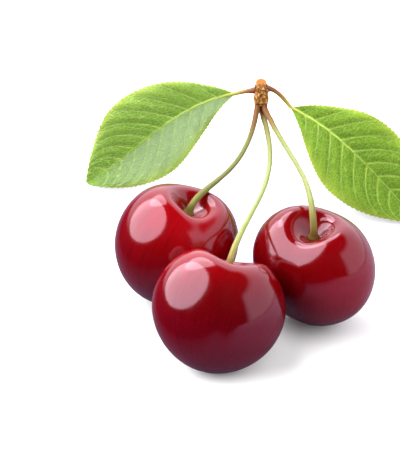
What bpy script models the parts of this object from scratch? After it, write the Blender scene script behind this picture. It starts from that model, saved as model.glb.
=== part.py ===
"""A bunch of sweet cherries as picked, lying on a flat surface.

Three fruits, each on its own stalk, hang from one short woody spur that also carries two leaves and a few bud
scales. The fruits rest on the surface, the stalks arch up out of them and run back to the spur, and the leaves
droop until their tips touch the surface. +Z is up, +Y runs from the fruits towards the spur, and the origin is on
the surface, under the middle of the whole bunch. Each fruit is modelled with its axis along its own +Z, its widest
measure along X and its suture at -Y.
"""

import math

import bmesh
import bpy
import numpy as np
from mathutils import Matrix, Quaternion, Vector

MM = 0.001
DEGREE = math.pi / 180
CLEARANCE = 0.3 * MM  # between pieces that touch
JOIN_DISTANCE = 0.01 * MM  # points closer than this are one point

# The fruits: across the cheeks, from the suture to the far side, and from the shoulders to the base.
FRONT_WIDTH = 28.0 * MM
FRONT_THICKNESS = 24.0 * MM
FRONT_HEIGHT = 24.7 * MM
RIGHT_WIDTH = 27.3 * MM
RIGHT_THICKNESS = 21.9 * MM
RIGHT_HEIGHT = 24.6 * MM
LEFT_WIDTH = 26.0 * MM
LEFT_THICKNESS = 24.0 * MM
LEFT_HEIGHT = 25.0 * MM

# Which way each fruit's axis leans from upright (towards +X, towards +Y) and how far it is turned about it.
FRONT_LEAN = (16 * DEGREE, 33 * DEGREE, 4 * DEGREE)
RIGHT_LEAN = (-1 * DEGREE, -6 * DEGREE, -36 * DEGREE)
LEFT_LEAN = (19 * DEGREE, 2 * DEGREE, 14 * DEGREE)

# Where the two back fruits lie, as the direction from the front fruit, from +X towards +Y.
RIGHT_BEARING = 38.5 * DEGREE
LEFT_BEARING = 110.5 * DEGREE

# The hollow that the stalk grows out of: its depth and its reach, which is how far out it fades away.
CAVITY_DEPTH = 5.2 * MM
CAVITY_REACH = 4.3 * MM
RIM_RADIUS = 1.5 * CAVITY_REACH
# Its rim dips at the suture and, less, on the far side. The angles are how far round each dip and the suture reach.
SUTURE_DIP = 1.0 * MM
SUTURE_DIP_REACH = 40 * DEGREE
FAR_DIP = 0.8 * MM
FAR_DIP_REACH = 46 * DEGREE
GROOVE_DEPTH = 0.25 * MM
GROOVE_REACH = 9 * DEGREE
TAPER = 0.05  # how much wider the fruit is above its middle than below it, as a share

# The stalks: radius at mid length, at the foot in the fruit, just above the foot and where they leave the spur.
STALK_RADIUS = 0.5 * MM
FOOT_RADIUS = 1.35 * MM
FOOT_LENGTH = 3.0 * MM
NECK_RADIUS = 0.72 * MM
NECK_LENGTH = 12 * MM
STALK_TOP_RADIUS = 0.6 * MM
STALK_TOP_SHARE = 0.2  # of the stalk's length, over which it thickens towards the spur
STALK_TOP_SPACING = 1.0 * MM  # from the spur's axis

# Each stalk: its place round the spur, which way it leaves the spur, how far it holds its direction out of the
# hollow, and how far at the spur, as a share of the distance from its foot.
STALK_LEFT = (205 * DEGREE, Vector((-0.1, -1, -0.1)), 8 * MM, 0.48)
STALK_RIGHT = (325 * DEGREE, Vector((0.3, -1, -0.1)), 18 * MM, 0.38)
STALK_FRONT = (85 * DEGREE, Vector((0.22, -1, -0.15)), 14 * MM, 0.38)

# The spur: its lower end, where the stalks leave it, measured from the front fruit's resting point.
SPUR_BACK = 72.2 * MM
SPUR_SIDE = 9.5 * MM
SPUR_UP = 16.0 * MM
SPUR_RISE = 40 * DEGREE
SPUR_LENGTH = 6.6 * MM
# Its radius: between the swellings, and at its lower end, at its knot and at its cut end. The places and reaches
# of those are shares of its length.
SPUR_WAIST_RADIUS = 1.25 * MM
SPUR_END_RADIUS = 1.4 * MM
SPUR_END_REACH = 0.12
SPUR_KNOT_RADIUS = 1.45 * MM
SPUR_KNOT_PLACE = 0.55
SPUR_KNOT_REACH = 0.22
SPUR_CUT_RADIUS = 1.15 * MM
SPUR_CUT_REACH = 0.25
SPUR_CUT_SLANT = 46 * DEGREE  # between the spur's axis and the way the cut end faces
SHARP_EDGE = 40 * DEGREE  # a sharper edge than this, such as the cut's, isn't smoothed

# The scales on the spur.
SCALE_LENGTH = 2.4 * MM
SCALE_WIDTH = 1.5 * MM
SCALE_THICKNESS = 0.25 * MM
SCALE_OPENING = 0.35 * MM  # how far its point stands off
SCALE_POINT_SHARE = 0.92  # 1 would bring it to a full point
LOWER_SCALES = (45 * DEGREE, 135 * DEGREE, 225 * DEGREE, 315 * DEGREE)
LOWER_SCALE_START = 0.42  # as a share of the spur's length
UPPER_SCALE = 270 * DEGREE
UPPER_SCALE_START = 0.68

# The leaves: blade length along a straight line from its base to its tip, the widths of the half away from the
# fruits and of the half towards them, and the leaf stalks.
LEFT_LEAF_LENGTH = 36.6 * MM
LEFT_LEAF_FAR_WIDTH = 11.2 * MM
LEFT_LEAF_NEAR_WIDTH = 11.0 * MM
RIGHT_LEAF_LENGTH = 37.6 * MM
RIGHT_LEAF_FAR_WIDTH = 10.4 * MM
RIGHT_LEAF_NEAR_WIDTH = 11.8 * MM
LEFT_LEAF_STALK = 4.4 * MM
RIGHT_LEAF_STALK = 6.6 * MM
LEAF_THICKNESS = 0.5 * MM
LEAF_END_WIDTH = 0.9 * MM  # of the blade, where it runs out at its base and tip
LEAF_TIP_HEIGHT = 0.4 * MM
LEAF_STALK_RADIUS = 0.55 * MM
MIDRIB_END_RADIUS = 0.3 * MM
MIDRIB_SHORT = 4  # steps of the blade's length that are left without a midrib, at the tip

# The blade's outline: fullest past its middle the more the first is above 1, and the fuller the less the second is.
BLADE_FORWARD = 1.28
BLADE_FULLNESS = 0.8
BLADE_TIP_TAPER = 0.28
# The blade's shape: each half rises by the fold, less towards its edge, and the blade's line holds its direction
# for these shares of its length at the base and at the tip.
LEAF_FOLD = 25 * DEGREE
LEAF_FLATTENING = 0.25
LEAF_FACING = Vector((0, -0.7, 0.72))
BLADE_START_REACH = 0.35
BLADE_END_REACH = 0.3
BLADE_END_STEEPNESS = 0.6
REST_SOFTNESS = 1.0 * MM  # how gently the blade bends where it comes to the surface

# Each leaf: its place along and round the spur, which way its stalk runs and the blade's bearing.
LEAF_LEFT = (0.55, 178 * DEGREE, Vector((-0.97, 0.0, -0.22)), 197 * DEGREE)
LEAF_RIGHT = (0.62, 5 * DEGREE, Vector((0.78, -0.3, -0.6)), -40 * DEGREE)

# How finely each piece is divided.
FRUIT_SEGMENTS = 36
FRUIT_RINGS = 22
RING_CROWDING = 0.35  # how much closer the rings lie in and round the hollow
STALK_POINTS = 22
STALK_CORNERS = 2
SPUR_POINTS = 12
SPUR_CORNERS = 4
SCALE_ACROSS = 4
SCALE_LONG = 5
BLADE_LONG = 20
BLADE_ACROSS = 10
LEAF_STALK_POINTS = 6

CHERRY_SKIN = ("cherry skin", (0.24, 0.003, 0.006), 0.12)
STALK_GREEN = ("stalk green", (0.4, 0.46, 0.16), 0.45)
SPUR_BARK = ("spur bark", (0.5, 0.27, 0.1), 0.7)
SCALE_BROWN = ("scale brown", (0.3, 0.12, 0.04), 0.75)
LEAF_GREEN = ("leaf green", (0.2, 0.34, 0.045), 0.4)


def finish(recipe):
    """The material of one recipe: name, colour, roughness."""
    name, colour, roughness = recipe
    material = bpy.data.materials.get(name)
    if material is None:
        material = bpy.data.materials.new(name)
        material.use_nodes = True
        shader = material.node_tree.nodes["Principled BSDF"]
        shader.inputs["Base Color"].default_value = (*colour, 1)
        shader.inputs["Roughness"].default_value = roughness
        shader.inputs["Metallic"].default_value = 0
    return material


def add_piece(name, data, recipe, parent):
    piece = bpy.data.objects.new(name, data)
    bunch.objects.link(piece)
    data.materials.append(finish(recipe))
    piece.parent = parent
    return piece


def mesh_from(bm, name):
    mesh = bpy.data.meshes.new(name)
    bmesh.ops.recalc_face_normals(bm, faces=bm.faces)
    bm.to_mesh(mesh)
    bm.free()
    mesh.shade_smooth()
    return mesh


def bump(distance, reach):
    """1 at no distance, falling smoothly to nothing a few times the reach away."""
    return math.exp(-((distance / reach) ** 2))


def bezier(start, start_handle, end_handle, end, count):
    """Evenly stepped points of one smooth curve between two ends."""
    points = []
    for step in range(count):
        t = step / (count - 1)
        s = 1 - t
        point = start * s**3 + start_handle * 3 * s**2 * t + end_handle * 3 * s * t**2 + end * t**3
        points.append(point)
    return points


def tube(name, points, radii, corners):
    """A round bar along the points as a curve, with its own radius at each of them."""
    curve = bpy.data.curves.new(name, "CURVE")
    curve.dimensions = "3D"
    curve.bevel_depth = max(radii)
    curve.bevel_resolution = corners
    curve.use_fill_caps = True
    spline = curve.splines.new("POLY")
    spline.points.add(len(points) - 1)
    for place, point, radius in zip(spline.points, points, radii):
        place.co = (*point, 1)
        place.radius = radius / curve.bevel_depth
    return curve


def closed_mesh(curve):
    """The curve's solid as a mesh with its caps joined to it."""
    holder = bpy.data.objects.new("holder", curve)
    bpy.context.scene.collection.objects.link(holder)
    graph = bpy.context.evaluated_depsgraph_get()
    mesh = bpy.data.meshes.new_from_object(holder.evaluated_get(graph))
    bpy.data.objects.remove(holder)
    bm = bmesh.new()
    bm.from_mesh(mesh)
    bmesh.ops.remove_doubles(bm, verts=bm.verts, dist=JOIN_DISTANCE)
    return bm


# --- Fruits


def fruit_skin(size, polar, around):
    """A point of the skin before the fruit is brought to its exact size."""
    width, thickness, height = size
    across = math.sin(polar) * (1 + TAPER * math.cos(polar))
    x = width / 2 * across * math.cos(around)
    y = thickness / 2 * across * math.sin(around)
    z = height / 2 * math.cos(polar)
    top = max(0.0, math.cos(polar))
    from_suture = math.remainder(around + math.pi / 2, 2 * math.pi)
    from_far_side = math.remainder(around - math.pi / 2, 2 * math.pi)
    rim = bump(math.hypot(x, y) - RIM_RADIUS, CAVITY_REACH) * top
    z -= CAVITY_DEPTH * bump(math.hypot(x, y), CAVITY_REACH) * top
    z -= rim * (SUTURE_DIP * bump(from_suture, SUTURE_DIP_REACH) + FAR_DIP * bump(from_far_side, FAR_DIP_REACH))
    groove = GROOVE_DEPTH * bump(from_suture, GROOVE_REACH) * math.sin(polar)
    return Vector((x, y + groove, z))


def fruit_mesh(name, size):
    bm = bmesh.new()
    bmesh.ops.create_uvsphere(bm, u_segments=FRUIT_SEGMENTS, v_segments=FRUIT_RINGS, radius=1)
    for vertex in bm.verts:
        share = math.acos(max(-1.0, min(1.0, vertex.co.z))) / math.pi
        polar = math.pi * share ** (1 + RING_CROWDING * (1 - share))
        around = math.atan2(vertex.co.y, vertex.co.x)
        vertex.co = fruit_skin(size, polar, around)
    places = np.array([vertex.co for vertex in bm.verts])
    low, high = places.min(axis=0), places.max(axis=0)
    for vertex in bm.verts:
        for axis in range(3):
            share = (vertex.co[axis] - low[axis]) / (high[axis] - low[axis])
            vertex.co[axis] = (share - 0.5) * size[axis]
    return mesh_from(bm, name)


def leaning(lean):
    """The turn that leans an upright fruit by the two angles, after it is turned about its own axis."""
    to_side, to_back, turn = lean
    axis = Vector((math.tan(to_side), math.tan(to_back), 1))
    return Vector((0, 0, 1)).rotation_difference(axis) @ Quaternion((0, 0, 1), turn)


def reach_of(fruit, direction):
    """How far the turned fruit reaches from its middle in this direction."""
    return max((fruit.rotation_quaternion @ vertex.co).dot(direction) for vertex in fruit.data.vertices)


def make_fruit(name, size, lean, parent):
    fruit = add_piece(name, fruit_mesh(name, size), CHERRY_SKIN, parent)
    fruit.rotation_mode = "QUATERNION"
    fruit.rotation_quaternion = leaning(lean)
    fruit.location.z = reach_of(fruit, Vector((0, 0, -1)))
    return fruit


def lay_beside(fruit, other, bearing):
    """Puts the fruit against the other one, in that direction from it."""
    way = Vector((math.cos(bearing), math.sin(bearing), 0))
    apart = reach_of(other, way) + reach_of(fruit, -way) + CLEARANCE
    fruit.location.x = other.location.x + way.x * apart
    fruit.location.y = other.location.y + way.y * apart


def stalk_seat(fruit):
    """The bottom of the fruit's hollow and its axis, both as placed."""
    axis = fruit.rotation_quaternion @ Vector((0, 0, 1))
    middle = min(
        (vertex.co for vertex in fruit.data.vertices if vertex.co.z > 0),
        key=lambda place: math.hypot(place.x, place.y),
    )
    return fruit.location + fruit.rotation_quaternion @ middle, axis


# --- Spur, its scales and the stalks' places on it


def spur_radius(share):
    """The spur's radius from its lower end, at 0, to its cut end, at 1."""
    radius = SPUR_WAIST_RADIUS
    radius += (SPUR_END_RADIUS - SPUR_WAIST_RADIUS) * bump(share, SPUR_END_REACH)
    radius += (SPUR_KNOT_RADIUS - SPUR_WAIST_RADIUS) * bump(share - SPUR_KNOT_PLACE, SPUR_KNOT_REACH)
    return radius + (SPUR_CUT_RADIUS - SPUR_WAIST_RADIUS) * bump(share - 1, SPUR_CUT_REACH)


def make_spur(frame, parent):
    points = [Vector((0, 0, SPUR_LENGTH * step / (SPUR_POINTS - 1))) for step in range(SPUR_POINTS)]
    radii = [spur_radius(point.z / SPUR_LENGTH) for point in points]
    bm = closed_mesh(tube("spur", points, radii, SPUR_CORNERS))
    facing = Vector((0, -math.sin(SPUR_CUT_SLANT), math.cos(SPUR_CUT_SLANT)))
    cut_through = Vector((0, SPUR_CUT_RADIUS, SPUR_LENGTH))
    parts = bm.verts[:] + bm.edges[:] + bm.faces[:]
    bmesh.ops.bisect_plane(bm, geom=parts, plane_co=cut_through, plane_no=facing, clear_outer=True)
    open_edges = [edge for edge in bm.edges if edge.is_boundary]
    bmesh.ops.edgeloop_fill(bm, edges=open_edges)
    mesh = mesh_from(bm, "spur")
    mesh.set_sharp_from_angle(angle=SHARP_EDGE)
    spur = add_piece("spur", mesh, SPUR_BARK, parent)
    spur.location = frame.to_translation()
    spur.rotation_euler = frame.to_euler()
    return spur


def make_scale(name, frame, around, start, parent):
    """A small pointed scale that lies along the spur and opens towards the fruits."""
    bm = bmesh.new()
    bmesh.ops.create_grid(bm, x_segments=SCALE_ACROSS, y_segments=SCALE_LONG, size=0.5)
    for vertex in bm.verts:
        along = vertex.co.y + 0.5
        width = SCALE_WIDTH * math.sqrt(1 - SCALE_POINT_SHARE * along**2)
        height = start - along * SCALE_LENGTH
        share = min(1.0, max(0.0, height / SPUR_LENGTH))
        radius = spur_radius(share) + CLEARANCE + SCALE_THICKNESS + SCALE_OPENING * along**2
        angle = around + vertex.co.x * width / radius
        vertex.co = (radius * math.cos(angle), radius * math.sin(angle), height)
    mesh = mesh_from(bm, name)
    scale = add_piece(name, mesh, SCALE_BROWN, parent)
    scale.location = frame.to_translation()
    scale.rotation_euler = frame.to_euler()
    shell = scale.modifiers.new("thickness", "SOLIDIFY")
    shell.thickness = SCALE_THICKNESS
    shell.offset = 0
    return scale


def stalk_radius(share, length):
    """The stalk's radius from its foot in the fruit, at 0, to the spur, at 1."""
    from_foot = share * length
    radius = STALK_RADIUS
    radius += (NECK_RADIUS - STALK_RADIUS) * bump(from_foot, NECK_LENGTH)
    radius += (FOOT_RADIUS - NECK_RADIUS) * bump(from_foot, FOOT_LENGTH / 2)
    return radius + (STALK_TOP_RADIUS - STALK_RADIUS) * bump(share - 1, STALK_TOP_SHARE)


def make_stalk(name, fruit, frame, layout, parent):
    """A stalk from the bottom of a fruit's hollow to its place on the spur's lower end."""
    place_angle, spread, foot_reach, top_share = layout
    seat, axis = stalk_seat(fruit)
    # The hollow rises from its bottom to the edge of the stalk's flat foot, which clears it there.
    rise = CAVITY_DEPTH * (1 - bump(FOOT_RADIUS, CAVITY_REACH))
    start = seat + axis * (rise + CLEARANCE)
    side = Vector((math.cos(place_angle), math.sin(place_angle), 0)) * STALK_TOP_SPACING
    leaves = spread.normalized()
    # A stalk that leaves at a slant starts lower, so that the near edge of its end still has the clearance.
    slant = leaves.angle(frame.to_3x3() @ Vector((0, 0, -1)))
    end = frame @ (side - Vector((0, 0, CLEARANCE + STALK_TOP_RADIUS * math.tan(slant))))
    top_reach = top_share * (end - start).length
    points = bezier(start, start + axis * foot_reach, end + leaves * top_reach, end, STALK_POINTS)
    length = sum((b - a).length for a, b in zip(points, points[1:]))
    radii = [stalk_radius(step / (STALK_POINTS - 1), length) for step in range(STALK_POINTS)]
    return add_piece(name, tube(name, points, radii, STALK_CORNERS), STALK_GREEN, parent)


# --- Leaves


def blade_half_width(share, half_width):
    """The width of half the blade from its base, at 0, to its tip, at 1."""
    full = max(0.0, math.sin(math.pi * share**BLADE_FORWARD)) ** BLADE_FULLNESS
    full *= 1 - BLADE_TIP_TAPER * share**3
    return LEAF_END_WIDTH / 2 + (half_width - LEAF_END_WIDTH / 2) * full


def rested(place, height):
    """The place, bent up where it would go under the surface."""
    over = place.z - height
    return Vector((place.x, place.y, height + (over + math.sqrt(over**2 + REST_SOFTNESS**2)) / 2))


def make_leaf(name, frame, layout, length, far_width, near_width, stalk_length, parent):
    """One leaf: a folded blade that arches down to the surface, with its midrib and leaf stalk as one solid."""
    share, turn, stalk_way, bearing = layout
    way = Vector((math.cos(bearing), math.sin(bearing), 0))
    outward = frame.to_3x3() @ Vector((math.cos(turn), math.sin(turn), 0))
    axis_point = frame @ Vector((0, 0, share * SPUR_LENGTH))
    start = axis_point + outward * (spur_radius(share) + CLEARANCE)
    base = start + stalk_way.normalized() * stalk_length
    run = math.sqrt(length**2 - (base.z - LEAF_TIP_HEIGHT) ** 2)
    tip = Vector((base.x, base.y, LEAF_TIP_HEIGHT)) + way * run
    start_handle = base + way * length * BLADE_START_REACH
    end_handle = tip + (Vector((0, 0, BLADE_END_STEEPNESS)) - way) * length * BLADE_END_REACH
    blade_line = bezier(base, start_handle, end_handle, tip, BLADE_LONG + 1)

    bm = bmesh.new()
    bmesh.ops.create_grid(bm, x_segments=BLADE_ACROSS, y_segments=BLADE_LONG, size=0.5)
    for vertex in bm.verts:
        row = round((vertex.co.y + 0.5) * BLADE_LONG)
        ahead = blade_line[min(row + 1, BLADE_LONG)] - blade_line[max(row - 1, 0)]
        across = ahead.cross(LEAF_FACING).normalized()
        normal = across.cross(ahead).normalized()
        half_width = far_width if across.y * vertex.co.x > 0 else near_width
        offset = 2 * vertex.co.x * blade_half_width(row / BLADE_LONG, half_width)
        place = blade_line[row] + across * offset * math.cos(LEAF_FOLD)
        flattened = 1 - LEAF_FLATTENING * abs(offset) / half_width
        place += normal * abs(offset) * math.sin(LEAF_FOLD) * flattened
        vertex.co = rested(place, LEAF_THICKNESS / 2)
    leaf = add_piece(name, mesh_from(bm, name), LEAF_GREEN, parent)
    shell = leaf.modifiers.new("thickness", "SOLIDIFY")
    shell.thickness = LEAF_THICKNESS
    shell.offset = 0

    stalk_handle = start + outward * stalk_length / 3
    leaf_stalk = bezier(start, stalk_handle, base - (blade_line[1] - base), base, LEAF_STALK_POINTS)
    rib = leaf_stalk + blade_line[1 : BLADE_LONG - MIDRIB_SHORT]
    taper = np.linspace(LEAF_STALK_RADIUS, MIDRIB_END_RADIUS, len(rib))
    rib_mesh = mesh_from(closed_mesh(tube(name, rib, taper, STALK_CORNERS)), name + "_rib")
    midrib = bpy.data.objects.new(name + "_rib", rib_mesh)
    helpers.objects.link(midrib)
    midrib.parent = parent
    midrib.hide_render = True
    midrib.display_type = "WIRE"
    joined = leaf.modifiers.new("midrib", "BOOLEAN")
    joined.operation = "UNION"
    joined.solver = "EXACT"
    joined.object = midrib
    return leaf


# --- The bunch

for old in list(bpy.data.objects):
    bpy.data.objects.remove(old)
bunch = bpy.data.collections.new("cherry_bunch")
helpers = bpy.data.collections.new("helpers")
bpy.context.scene.collection.children.link(bunch)
bpy.context.scene.collection.children.link(helpers)
helpers.hide_render = True
root = bpy.data.objects.new("cherries_on_stalks", None)
bunch.objects.link(root)

front = make_fruit("cherry_front", (FRONT_WIDTH, FRONT_THICKNESS, FRONT_HEIGHT), FRONT_LEAN, root)
right = make_fruit("cherry_right", (RIGHT_WIDTH, RIGHT_THICKNESS, RIGHT_HEIGHT), RIGHT_LEAN, root)
left = make_fruit("cherry_left", (LEFT_WIDTH, LEFT_THICKNESS, LEFT_HEIGHT), LEFT_LEAN, root)
lay_beside(right, front, RIGHT_BEARING)
lay_beside(left, front, LEFT_BEARING)

# The spur's own frame: +Z along its axis from the stalks to the cut end, +X to the side.
spur_frame = Matrix.Translation((SPUR_SIDE, SPUR_BACK, SPUR_UP)) @ Matrix.Rotation(SPUR_RISE - math.pi / 2, 4, "X")
make_spur(spur_frame, root)
scales = [(turned, LOWER_SCALE_START) for turned in LOWER_SCALES] + [(UPPER_SCALE, UPPER_SCALE_START)]
for number, (turned, begins) in enumerate(scales):
    make_scale(f"bud_scale_{number + 1}", spur_frame, turned, begins * SPUR_LENGTH, root)

make_stalk("stalk_left", left, spur_frame, STALK_LEFT, root)
make_stalk("stalk_right", right, spur_frame, STALK_RIGHT, root)
make_stalk("stalk_front", front, spur_frame, STALK_FRONT, root)
left_blade = (LEFT_LEAF_LENGTH, LEFT_LEAF_FAR_WIDTH, LEFT_LEAF_NEAR_WIDTH, LEFT_LEAF_STALK)
right_blade = (RIGHT_LEAF_LENGTH, RIGHT_LEAF_FAR_WIDTH, RIGHT_LEAF_NEAR_WIDTH, RIGHT_LEAF_STALK)
make_leaf("leaf_left", spur_frame, LEAF_LEFT, *left_blade, root)
make_leaf("leaf_right", spur_frame, LEAF_RIGHT, *right_blade, root)

# The whole bunch moves so that the origin is under the middle of its box.
bpy.context.view_layer.update()
graph = bpy.context.evaluated_depsgraph_get()
corners = []
for piece in bunch.objects:
    if piece.type != "EMPTY":
        evaluated = piece.evaluated_get(graph)
        shape = evaluated.to_mesh()
        corners += [evaluated.matrix_world @ vertex.co for vertex in shape.vertices]
        evaluated.to_mesh_clear()
corners = np.array(corners)
middle = (corners.min(axis=0) + corners.max(axis=0)) / 2
root.location = (-middle[0], -middle[1], -corners[:, 2].min())
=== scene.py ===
"""The finished look of a bunch of sweet cherries: three fruits on stalks, a woody spur and two leaves."""

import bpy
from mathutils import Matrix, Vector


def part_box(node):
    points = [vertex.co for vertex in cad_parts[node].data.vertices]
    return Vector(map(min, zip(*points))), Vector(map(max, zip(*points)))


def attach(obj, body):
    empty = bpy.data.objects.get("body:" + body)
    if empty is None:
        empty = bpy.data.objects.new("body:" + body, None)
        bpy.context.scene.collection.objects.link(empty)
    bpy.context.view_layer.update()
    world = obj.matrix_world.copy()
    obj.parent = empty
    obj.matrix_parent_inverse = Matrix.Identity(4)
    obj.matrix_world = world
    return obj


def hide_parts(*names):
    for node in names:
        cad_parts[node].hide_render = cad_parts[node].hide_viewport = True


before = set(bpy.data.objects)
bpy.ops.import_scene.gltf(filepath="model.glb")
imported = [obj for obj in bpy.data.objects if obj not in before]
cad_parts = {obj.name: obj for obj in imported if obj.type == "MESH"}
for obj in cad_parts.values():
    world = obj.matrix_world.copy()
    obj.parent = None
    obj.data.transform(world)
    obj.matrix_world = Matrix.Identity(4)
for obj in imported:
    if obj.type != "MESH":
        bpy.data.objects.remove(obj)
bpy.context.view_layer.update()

import math

import bpy
import numpy as np
from mathutils import Matrix, Quaternion, Vector

# Lengths are in millimetres until a mesh is made, and angles in degrees until they are used.
MM = 0.001
DEGREE = math.pi / 180

# Each fruit: width, thickness and height, then how its axis leans towards +X and +Y and how far it is turned.
FRUITS = {
    "cherry_front": ((28.0, 24.0, 24.7), (16, 33, 4)),
    "cherry_right": ((27.3, 21.9, 24.6), (-1, -6, -36)),
    "cherry_left": ((26.0, 24.0, 25.0), (19, 2, 14)),
}
# Painted light: the side of each fruit where the light falls and glows red through the skin, painted a brighter
# red, in the fruit's own axes.
PAINTED_GLOW = {
    "cherry_front": (-0.3, 0.2, 0.9),
    "cherry_right": (0.9, -0.35, -0.2),
    "cherry_left": (-0.2, -0.6, 0.6),
}
PAINTED_GLOW_STRENGTH = 0.6
# The hollow round the stalk, and where its rim is highest, as a multiple of its reach.
CAVITY_DEPTH = 5.2
CAVITY_REACH = 4.3
RIM_PLACE = 1.5
# The dips in the rim over the suture and on the far side, the suture's groove, and their widths in degrees.
SUTURE_DIP = 1.0
SUTURE_DIP_WIDTH = 40
FAR_DIP = 0.8
FAR_DIP_WIDTH = 46
GROOVE_DEPTH = 0.25
GROOVE_WIDTH = 9
TAPER = 0.05
# The scar at the lower end, with its reach in radians, and the brown stain at the stalk's foot.
SCAR_REACH = 0.035
SCAR_DEPTH = 0.35
STAIN_REACH = 1.5
STAIN_STRENGTH = 0.7
SKIN_UNEVENNESS = 0.0025
FRUIT_SEGMENTS = 200
FRUIT_RINGS = 140

# Each stalk: its fruit, its place round the spur's end, the way it leaves the spur, how far it runs straight
# out of the fruit, and how far it runs straight from the spur as a share of its whole span.
STALKS = {
    "stalk_left": ("cherry_left", 205, (-0.1, -1, -0.1), 8, 0.48),
    "stalk_right": ("cherry_right", 325, (0.3, -1, -0.1), 18, 0.38),
    "stalk_front": ("cherry_front", 85, (0.22, -1, -0.15), 14, 0.38),
}
# How far from the spur each stalk is browned, and how dark its green is from 0 to 1.
STALK_BROWNING = {"stalk_left": 15, "stalk_right": 12, "stalk_front": 4}
STALK_DARKNESS = {"stalk_left": 0.85, "stalk_right": 0.35, "stalk_front": 0.0}
# A stalk's radius at mid length, just above its foot and at the foot, the foot's length, how far above the
# hollow's bottom the free stalk starts, and the radius and place of its other end at the spur.
STALK_RADIUS = 0.5
NECK_RADIUS = 0.72
FOOT_RADIUS = 0.95
FOOT_LENGTH = 3.0
FOOT_LIFT = 0.79
STALK_TOP_RADIUS = 0.6
STALK_TOP_SPACING = 1.0
STALK_POINTS = 150
STALK_SIDES = 28

# The spur's lower end from the front fruit's resting point, and the rise of its axis.
SPUR_PLACE = (9.5, 72.2, 16.0)
SPUR_RISE = 40
SPUR_LENGTH = 6.6
SPUR_RADIUS = 1.25
# Where it swells or narrows: by how much, at which share of its length, and over what share.
SPUR_SWELLINGS = ((0.15, 0.0, 0.12), (0.2, 0.55, 0.22), (-0.1, 1.0, 0.25))
# The cut at its upper end: the radius there and the slant in degrees.
SPUR_CUT_RADIUS = 1.15
SPUR_CUT_SLANT = 46
SPUR_ROWS = 90
SPUR_SIDES = 72
CUT_RINGS = 16
# The bark's lumps: how many, their half widths in radians, half heights as shares of the length, and rises.
LUMPS = 46
LUMP_WIDTHS = (0.24, 0.45)
LUMP_HEIGHTS = (0.04, 0.07)
LUMP_RISES = (0.07, 0.2)
CREASE_DEPTH = 0.1
# Each bud scale: its side of the spur, and where it begins as a share of the spur's length.
SCALES = ((45, 0.42), (135, 0.42), (225, 0.42), (315, 0.42), (270, 0.68))
SCALE_LENGTH = 2.4
SCALE_WIDTH = 1.875
SCALE_BULGE = 0.32
SCALE_THICKNESS = 0.14
SCALE_ROWS = 26
SCALE_COLUMNS = 19

# Each leaf: height on the spur, side of the spur, its stalk's direction and length, then the blade's bearing,
# length and the widths of its half away from the fruits and of its half towards them.
LEAVES = {
    "leaf_left": (0.55, 178, (-0.97, 0.0, -0.22), 4.4, 197, 36.6, 11.2, 11.0),
    "leaf_right": (0.62, 5, (0.78, -0.3, -0.6), 6.6, -40, 37.6, 10.4, 11.8),
}
# Painted sheen: a pale grey green painted on the half towards the fruits, standing for the light that half
# reflects.
LEAF_PAINTED_SHEEN = {"leaf_left": 0.72, "leaf_right": 0.0}
# Which way the blades face, how far each half is folded up, the height of the line's tip, and the height that
# no part of a blade's upper side sinks below.
LEAF_FACING = np.array((0, -0.7, 0.72))
LEAF_FOLD = 25
LEAF_DROP = 0.4
LEAF_REST = 0.25
BLADE_THICKNESS = 0.22
BLADE_ROWS = 320
BLADE_COLUMNS = 112
BLADE_END_WIDTH = 0.45
BLADE_TIP_TAPER = 0.28
# The side veins: how many, the shares of the length where each half's first one and the last one start, the
# half width of one, how deep it is sunk, and how high and how far from it the leaf swells between veins.
VEINS_A_SIDE = 9
FIRST_VEINS = (0.05, 0.085)
LAST_VEIN = 0.86
VEIN_WIDTH = 0.20
VEIN_DEPTH = 0.10
PILLOW_HEIGHT = 0.24
PILLOW_REACH = 1.1
# The teeth, the waves of the margin and how far it curls down.
TEETH_A_SIDE = 42
TOOTH_DEPTH = 0.38
WAVE_HEIGHT = 0.35
CURL_DEPTH = 0.75
# The leaf's stalk, and the midrib that carries it on: the half width of its pale band, how deep it is sunk, and
# how many rows of the blade it stops short of the tip.
LEAF_STALK_RADIUS = 0.52
LEAF_STALK_POINTS = 40
MIDRIB_WIDTH = 0.28
MIDRIB_DEPTH = 0.22
MIDRIB_SHORT = 8
MIDRIB_SIDES = 20

# The camera: its rise over the table, its distance, and the height of what it takes in. The front fruit's
# middle is a little to the right of what it aims at, and well below.
CAMERA_RISE = 34
CAMERA_DISTANCE = 2200
VIEW_HEIGHT = 94.78
FRONT_FRUIT_ASIDE = 3.53
FRONT_FRUIT_BELOW = 17.73


def bump(distance, reach):
    """1 at no distance, falling smoothly to nothing a few times the reach away."""
    return np.exp(-((np.asarray(distance) / reach) ** 2))


def unit(vectors):
    return vectors / np.linalg.norm(vectors, axis=-1, keepdims=True)


def bezier(start, start_handle, end_handle, end, shares):
    t = np.asarray(shares)[:, None]
    s = 1 - t
    start, start_handle, end_handle, end = (np.asarray(p) for p in (start, start_handle, end_handle, end))
    return start * s**3 + start_handle * 3 * s**2 * t + end_handle * 3 * s * t**2 + end * t**3


def ripple(places, sizes, seed):
    """A smooth uneven field over the places, about from -1 to 1, made of five crossing waves of each size."""
    waves = 5
    rng = np.random.default_rng(seed)
    total = np.zeros(places.shape[:-1])
    for size in sizes:
        for _ in range(waves):
            way = unit(rng.normal(size=3))
            total += np.sin(places @ way * (2 * math.pi / size) + rng.uniform(0, 2 * math.pi))
    return total / (waves * len(sizes)) ** 0.5 / 1.5


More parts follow.
